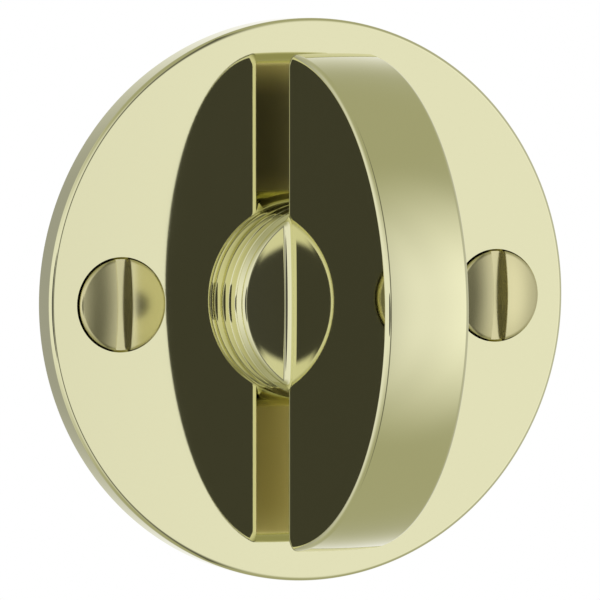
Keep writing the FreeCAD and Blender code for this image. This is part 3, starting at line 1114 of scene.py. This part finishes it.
@dataclass
class WoodScrew:
    """Slotted raised countersunk wood screw.

    Attributes:
        name: The piece's name.
        node: The CAD node that it stands for.
        at: Place of its axis along X.
        head: Radius of the head.
        head_rim: Level of the head's rim.
        dome: Height of the head's dome.
        tip: Level of the point.
        land: Height of the head's straight rim.
        shank: Radius of the plain shank.
        core: Radius of the thread's core.
        plain: Level where the thread starts.
        point: Length of the point.
        pitch: Spacing of the thread's turns.
        slot_half: Half the slot's width.
        slot_depth: Depth of the slot below the dome's top.
        edge: Rounding of the slot's edges.
        rim_round: Width of the round at the dome's rim.
        rim_drop: Height of that round.
        thread_rows: Rows of points in each turn of the thread.
        run_out: Turns over which the thread's core thins down from the shank.
    """

    name: str
    node: str
    at: float
    head: float
    head_rim: float
    dome: float
    tip: float
    land: float = 0.4
    shank: float = 2.25
    core: float = 1.6
    plain: float = 5.0
    point: float = 4.0
    pitch: float = 1.8
    slot_half: float = 0.72
    slot_depth: float = 1.2
    edge: float = 0.07
    rim_round: float = 0.28
    rim_drop: float = 0.16
    thread_rows: int = 10
    run_out: float = 1.5

    def columns(self) -> tuple[np.ndarray, np.ndarray]:
        """Places across the head, and how far each lies down the slot's wall or floor.

        The slot's broken edge ends at 0.06 of its depth, and its wall at the floor.

        Returns:
            x across the head, and the share of the slot's depth at each, 0 on the dome.
        """
        lead = math.asin(self.slot_half / self.head)
        dome = self.head * np.sin(np.linspace(math.pi / 2, lead, 41))
        dome = np.concatenate([dome[:-1], [self.slot_half + self.edge]])
        turn = sweep(5) * math.pi / 2
        edge_x = self.slot_half + self.edge * (1 - np.sin(turn))
        wall_x = np.full(4, self.slot_half)
        floor_x = np.linspace(self.slot_half, 0, 5)
        right = np.concatenate([dome, edge_x[1:], wall_x, floor_x])
        x = np.concatenate([-right, right[::-1][1:]])
        down = np.concatenate([
            0 * dome, 0.03 * (1 - np.cos(turn[1:])), np.linspace(0.06, 0.98, len(wall_x)),
            np.ones(len(floor_x)),
        ])
        return x, np.concatenate([down, down[::-1][1:]])

    def build(self) -> bpy.types.Object:
        """Shape the slotted dome, then the rim, cone, shank and thread below it.

        The dome is y = c - sqrt(s^2 - x^2 - z^2), with s its ball's radius, c the ball's centre
        and z = b sqrt(head^2 - x^2) for b from -1 to 1. Near its rim it falls by
        drop (1 - sqrt(1 - t^2)), with t from 0 to 1 across the rim's round. The slot mixes that
        level with the floor's.
        """
        x, down = self.columns()
        bar = np.sin(np.linspace(-1, 1, 61) * math.pi / 2)[:, None]
        half_chord = np.sqrt(np.maximum(self.head**2 - x**2, 0))
        z = bar * half_chord
        ball = (self.head**2 + self.dome**2) / (2 * self.dome)
        middle = self.head_rim - self.dome + ball
        dome_y = middle - np.sqrt(ball**2 - x**2 - z**2)
        outermost = np.clip((np.hypot(x, z) - self.head) / self.rim_round + 1, 0, 1)
        dome_y = dome_y + self.rim_drop * (1 - np.sqrt(1 - outermost**2))
        floor = self.head_rim - self.dome + self.slot_depth
        y = dome_y + (floor - dome_y) * down
        top = stack(x, y, z)

        border = np.concatenate([top[-1, :-1], top[0, ::-1]])
        angles = np.arctan2(border[:, 2], border[:, 0])
        cone = self.head_rim + self.land + self.head - self.shank
        rows = profile([
            Corner(self.head, self.head_rim),
            Corner(self.head, self.head_rim + self.land, 0.05),
            Corner(self.shank, cone, 0.6),
            Corner(self.shank, self.plain),
        ])
        level = np.maximum(rows[:, 1:], border[:, 1])
        radius = np.interp(level, rows[:, 1], rows[:, 0])
        lower = stack(radius * np.cos(angles), level, radius * np.sin(angles))
        grids = [top, lower, self.thread()]
        shifted = [grid + np.array([self.at, 0, 0]) for grid in grids]
        return stand_in(self.name, shifted, Body.DOOR_SIDE, self.node)

    def thread(self) -> np.ndarray:
        """Threaded part: rows follow the helix and are held between the shank and the tip.

        A row's phase p runs from 0 to 1 in each turn, and the ridge is 1.25 - 2.9 |p - 0.5| held
        between 0 and 1: a narrow flat crest, two flanks and a wide root. The point tapers as
        the square root of the distance to the tip.
        """
        turn = full_turn(72)
        count = int((self.tip - self.plain) / self.pitch + 2) * self.thread_rows
        row = np.arange(count)[:, None]
        base = self.plain - self.pitch + row * self.pitch / self.thread_rows
        level = np.clip(base + self.pitch * turn / (2 * math.pi), self.plain, self.tip)
        phase = (row % self.thread_rows) / self.thread_rows + 0 * turn
        ridge = np.clip(1.25 - 2.9 * np.abs(phase - 0.5), 0, 1)
        thinned = np.clip((level - self.plain) / (self.run_out * self.pitch), 0, 1)
        taper = np.sqrt(np.clip((self.tip - level) / self.point, 0, 1))
        core = self.shank + (self.core - self.shank) * thinned
        radius = (core + (self.shank - core) * ridge) * taper
        radius = np.where(level <= self.plain, self.shank, radius)
        return stack(radius * np.cos(turn), level, radius * np.sin(turn))

    def dress(self, piece: bpy.types.Object) -> None:
        """Give the screw its turned brass."""
        piece.data.materials.append(SCREW_BRASS.material())


@dataclass
class Studio:
    """Camera, world and floor.

    Attributes:
        turn: How far the camera stands to the left of the plate's axis, in degrees.
        lift: How far it stands above, in degrees.
        distance: Millimetres from the plate's front face.
        scale: Picture's pixels for each millimetre at the plate.
        centre: Pixel where the plate's centre lies.
        gap_at: Azimuth of the dark gap between the two lit walls, in degrees.
        camera_side: Half width and half height of the unlit side round the camera, in degrees,
            as the plate shows it.
        picture: Pixels across the picture.
        sensor: Width of the camera's sensor in millimetres.
        clip: Nearest and farthest metres that the camera sees.
    """

    turn: float = 24.58
    lift: float = 3.17
    distance: float = 562.0
    scale: float = 10.84
    centre: tuple[float, float] = (311.35, 300.0)
    gap_at: float = 5.0
    camera_side: tuple[float, float] = (15.0, 9.0)
    picture: float = 600.0
    sensor: float = 36.0
    clip: tuple[float, float] = (0.01, 50.0)

    def camera(self, front: float) -> None:
        """Stand the camera where the photograph was taken from.

        Args:
            front: Level of the plate's front face.
        """
        turn, lift = math.radians(self.turn), math.radians(self.lift)
        back = Vector((
            -math.sin(turn) * math.cos(lift), -math.cos(turn) * math.cos(lift), math.sin(lift)
        ))
        data = bpy.data.cameras.new("camera")
        data.sensor_width = self.sensor
        data.lens = self.scale * self.distance * self.sensor / self.picture
        data.shift_x = (self.picture / 2 - self.centre[0]) / self.picture
        data.shift_y = (self.centre[1] - self.picture / 2) / self.picture
        data.clip_start, data.clip_end = self.clip
        camera = bpy.data.objects.new("camera", data)
        bpy.context.scene.collection.objects.link(camera)
        camera.location = (Vector((0, front, 0)) + back * self.distance) * MM
        camera.rotation_mode = "QUATERNION"
        camera.rotation_quaternion = (-back).to_track_quat("-Z", "Y")
        bpy.context.scene.camera = camera

    def world(self) -> None:
        """Pale studio: bright walls, duller ceiling and floor, and the dark side of the camera.

        The camera sees plain white. Metal sees the studio, whose tone follows the direction's
        azimuth, atan2(x, -y), and its height, asin(z). All else is lit by an even pale tone.
        """
        world = bpy.data.worlds.new("studio")
        bpy.context.scene.world = world
        world.use_nodes = True
        tree = world.node_tree
        tree.nodes.clear()
        way = add_node(tree, "ShaderNodeTexCoord").outputs["Generated"]
        part = add_node(tree, "ShaderNodeSeparateXYZ", Vector=way)
        wide, high = (math.radians(size) for size in self.camera_side)
        at = {axis: part.outputs[axis] for axis in "XYZ"}
        for name, operation, *sources in (
            ("forward", "MULTIPLY", "Y", -1.0),
            ("azimuth", "ARCTAN2", "X", "forward"),
            ("height", "ARCSINE", "Z"),
            ("steep", "ABSOLUTE", "height"),
            ("beside_gap", "SUBTRACT", "azimuth", math.radians(self.gap_at)),
            ("from_gap", "ABSOLUTE", "beside_gap"),
            ("across", "MULTIPLY_ADD", "azimuth", 1 / wide, math.radians(self.turn) / wide),
            ("upward", "MULTIPLY_ADD", "height", 1 / high, math.radians(self.lift) / high),
        ):
            links = {f"_{place}": at.get(source, source) for place, source in enumerate(sources)}
            node = add_node(tree, "ShaderNodeMath", {"operation": operation}, **links)
            at[name] = node.outputs["Value"]
        offset = add_node(tree, "ShaderNodeCombineXYZ", X=at["across"], Y=at["upward"])
        from_camera = add_node(
            tree, "ShaderNodeVectorMath", {"operation": "LENGTH"}, _0=offset.outputs["Vector"]
        )

        behind = paint(tree, BACKDROP, [(at["X"], *BEHIND_RIGHT_AT, WALL)])
        ray = add_node(tree, "ShaderNodeLightPath").outputs
        tone = paint(tree, WALL, [
            (at["azimuth"], *np.radians(BRIGHT_WALL_AT), BRIGHT_WALL),
            (at["azimuth"], *np.radians(SIDE_WALL_AT), SIDE_WALL),
            (at["forward"], *BEHIND_AT, behind),
            (at["steep"], *np.radians(CEILING_AT), CEILING),
            (at["from_gap"], *np.radians(WALL_GAP_AT), WALL_GAP),
            (from_camera.outputs["Value"], *CAMERA_SIDE_AT, CAMERA_SIDE),
            (ray["Is Diffuse Ray"], 0.0, 1.0, EVEN_LIGHT),
            (ray["Is Camera Ray"], 0.0, 1.0, WALL),
        ])
        shader = add_node(tree, "ShaderNodeBackground", Color=tone, Strength=1.0)
        add_node(tree, "ShaderNodeOutputWorld", Surface=shader.outputs["Background"])

    def floor(self, level: float = -160.0, radius: float = 1100.0) -> None:
        """Pale floor below the lock. Metal and glass see the studio through it.

        Args:
            level: Height of the floor in millimetres.
            radius: Its radius in millimetres.
        """
        outline = np.array([(0, 0), (radius / 4, 0), (radius, 0)], float)
        disc = lathe(outline, full_turn(96))[..., [0, 2, 1]]
        floor = make_piece("floor", [disc + np.array([0, 0, level])])
        material, tree = new_tree("pale_floor")
        diffuse = add_node(tree, "ShaderNodeBsdfDiffuse", Color=linear(FLOOR_COLOUR))
        glow = add_node(tree, "ShaderNodeEmission", Strength=FLOOR_GLOW)
        pale = add_node(tree, "ShaderNodeAddShader", _0=diffuse.outputs[0], _1=glow.outputs[0])
        clear = add_node(tree, "ShaderNodeBsdfTransparent")
        ray = add_node(tree, "ShaderNodeLightPath")
        shiny = add_node(
            tree,
            "ShaderNodeMath",
            {"operation": "MAXIMUM"},
            _0=ray.outputs["Is Glossy Ray"],
            _1=ray.outputs["Is Transmission Ray"],
        )
        surface = add_node(
            tree,
            "ShaderNodeMixShader",
            _0=shiny.outputs["Value"],
            _1=pale.outputs[0],
            _2=clear.outputs[0],
        )
        add_node(tree, "ShaderNodeOutputMaterial", Surface=surface.outputs[0])
        floor.data.materials.append(material)


def corners(node: str) -> tuple[np.ndarray, np.ndarray]:
    """Lowest and highest corner of a CAD node, in millimetres."""
    low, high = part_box(node)
    return np.array(low) / MM, np.array(high) / MM


def dress_node(frame: dict, node: str, material: bpy.types.Material) -> None:
    """Give a CAD node that stays in view its material.

    Args:
        frame: The loaded frame.
        node: The node's name.
        material: Its material.
    """
    piece = frame["nodes"][node]
    piece.data.materials.clear()
    piece.data.materials.append(material)


# Fits and sizes that the frame's boxes don't give, in millimetres: the bushes' flange, the screw
# holes, the grip's half thickness and arc, the room past the spindle's end and beside the
# retaining ring, and the heads' room in the countersinks, their dome and how proud they stand
FLANGE = 0.8
SCREW_HOLE = 2.45
GRIP_HALF_WIDTH = 4.1
GRIP_RADIUS = 23.0
SOCKET_ROOM = 0.3
GROOVE_ROOM = 0.05
MOUTH_ROOM = 0.1
HEAD_LESS = 0.05
HEAD_DOME = 0.55
HEAD_PROUD = 0.45


def main() -> None:
    logging.basicConfig(level=logging.INFO, format="%(message)s")
    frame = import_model()

    plate_low, plate_high = corners("rosette")
    turn_low, turn_high = corners("thumb_turn")
    screw_low, screw_high = corners("fixing_screw_right")
    ring_low, ring_high = corners("retaining_ring")
    bush_low, _ = corners("front_bush")
    spindle_low, _ = corners("spindle")
    screw_at = (screw_low[0] + screw_high[0]) / 2
    head = (screw_high[0] - screw_low[0]) / 2

    rosette = Rosette(
        rim=plate_high[0],
        front=plate_low[1],
        hub_end=plate_high[1],
        seat_floor=bush_low[1] + FLANGE,
        screw_at=screw_at,
        mouth=head + MOUTH_ROOM,
        hole=SCREW_HOLE,
    )
    rosette.dress(rosette.build())
    LOG.info("rosette")

    grip = ThumbTurn(
        half_width=GRIP_HALF_WIDTH,
        grip_radius=GRIP_RADIUS,
        top=turn_low[1],
        journal_end=turn_high[1],
        collar=turn_high[0],
        collar_base=bush_low[1],
        socket_floor=spindle_low[1] - SOCKET_ROOM,
        groove_from=ring_low[1] - GROOVE_ROOM,
        groove_to=ring_high[1] + GROOVE_ROOM,
    )
    grip.dress(grip.build())
    LOG.info("thumb turn")

    for name, node, side in (
        ("brass_screw_left", "fixing_screw_left", -1),
        ("brass_screw_right", "fixing_screw_right", 1),
    ):
        screw = WoodScrew(
            name=name,
            node=node,
            at=side * screw_at,
            head=head - HEAD_LESS,
            head_rim=plate_low[1] - HEAD_PROUD,
            dome=HEAD_DOME,
            tip=screw_high[1],
        )
        screw.dress(screw.build())
        LOG.info(name)

    plastic = BUSH_PLASTIC.material()
    stainless = STAINLESS.material()
    spring = PHOSPHATED.material()
    zinc = ZINC_STEEL.material()
    for node, material, slot in (
        ("front_bush", plastic, Slot.BUSH),
        ("rear_bush", plastic, Slot.BUSH),
        ("thrust_washer", stainless, Slot.WASHER),
        ("ring_washer", stainless, Slot.WASHER),
        ("wave_washer", spring, Slot.SPRING),
        ("retaining_ring", spring, Slot.SPRING),
        ("spindle_pin", spring, Slot.SPRING),
        ("spindle", zinc, Slot.SPINDLE),
    ):
        dress_node(frame, node, material)
        LOG.info(node)

    studio = Studio()
    studio.camera(plate_low[1])
    studio.world()
    studio.floor()

    bpy.context.scene.view_settings.view_transform = "Standard"


if __name__ == "__main__":
    main()
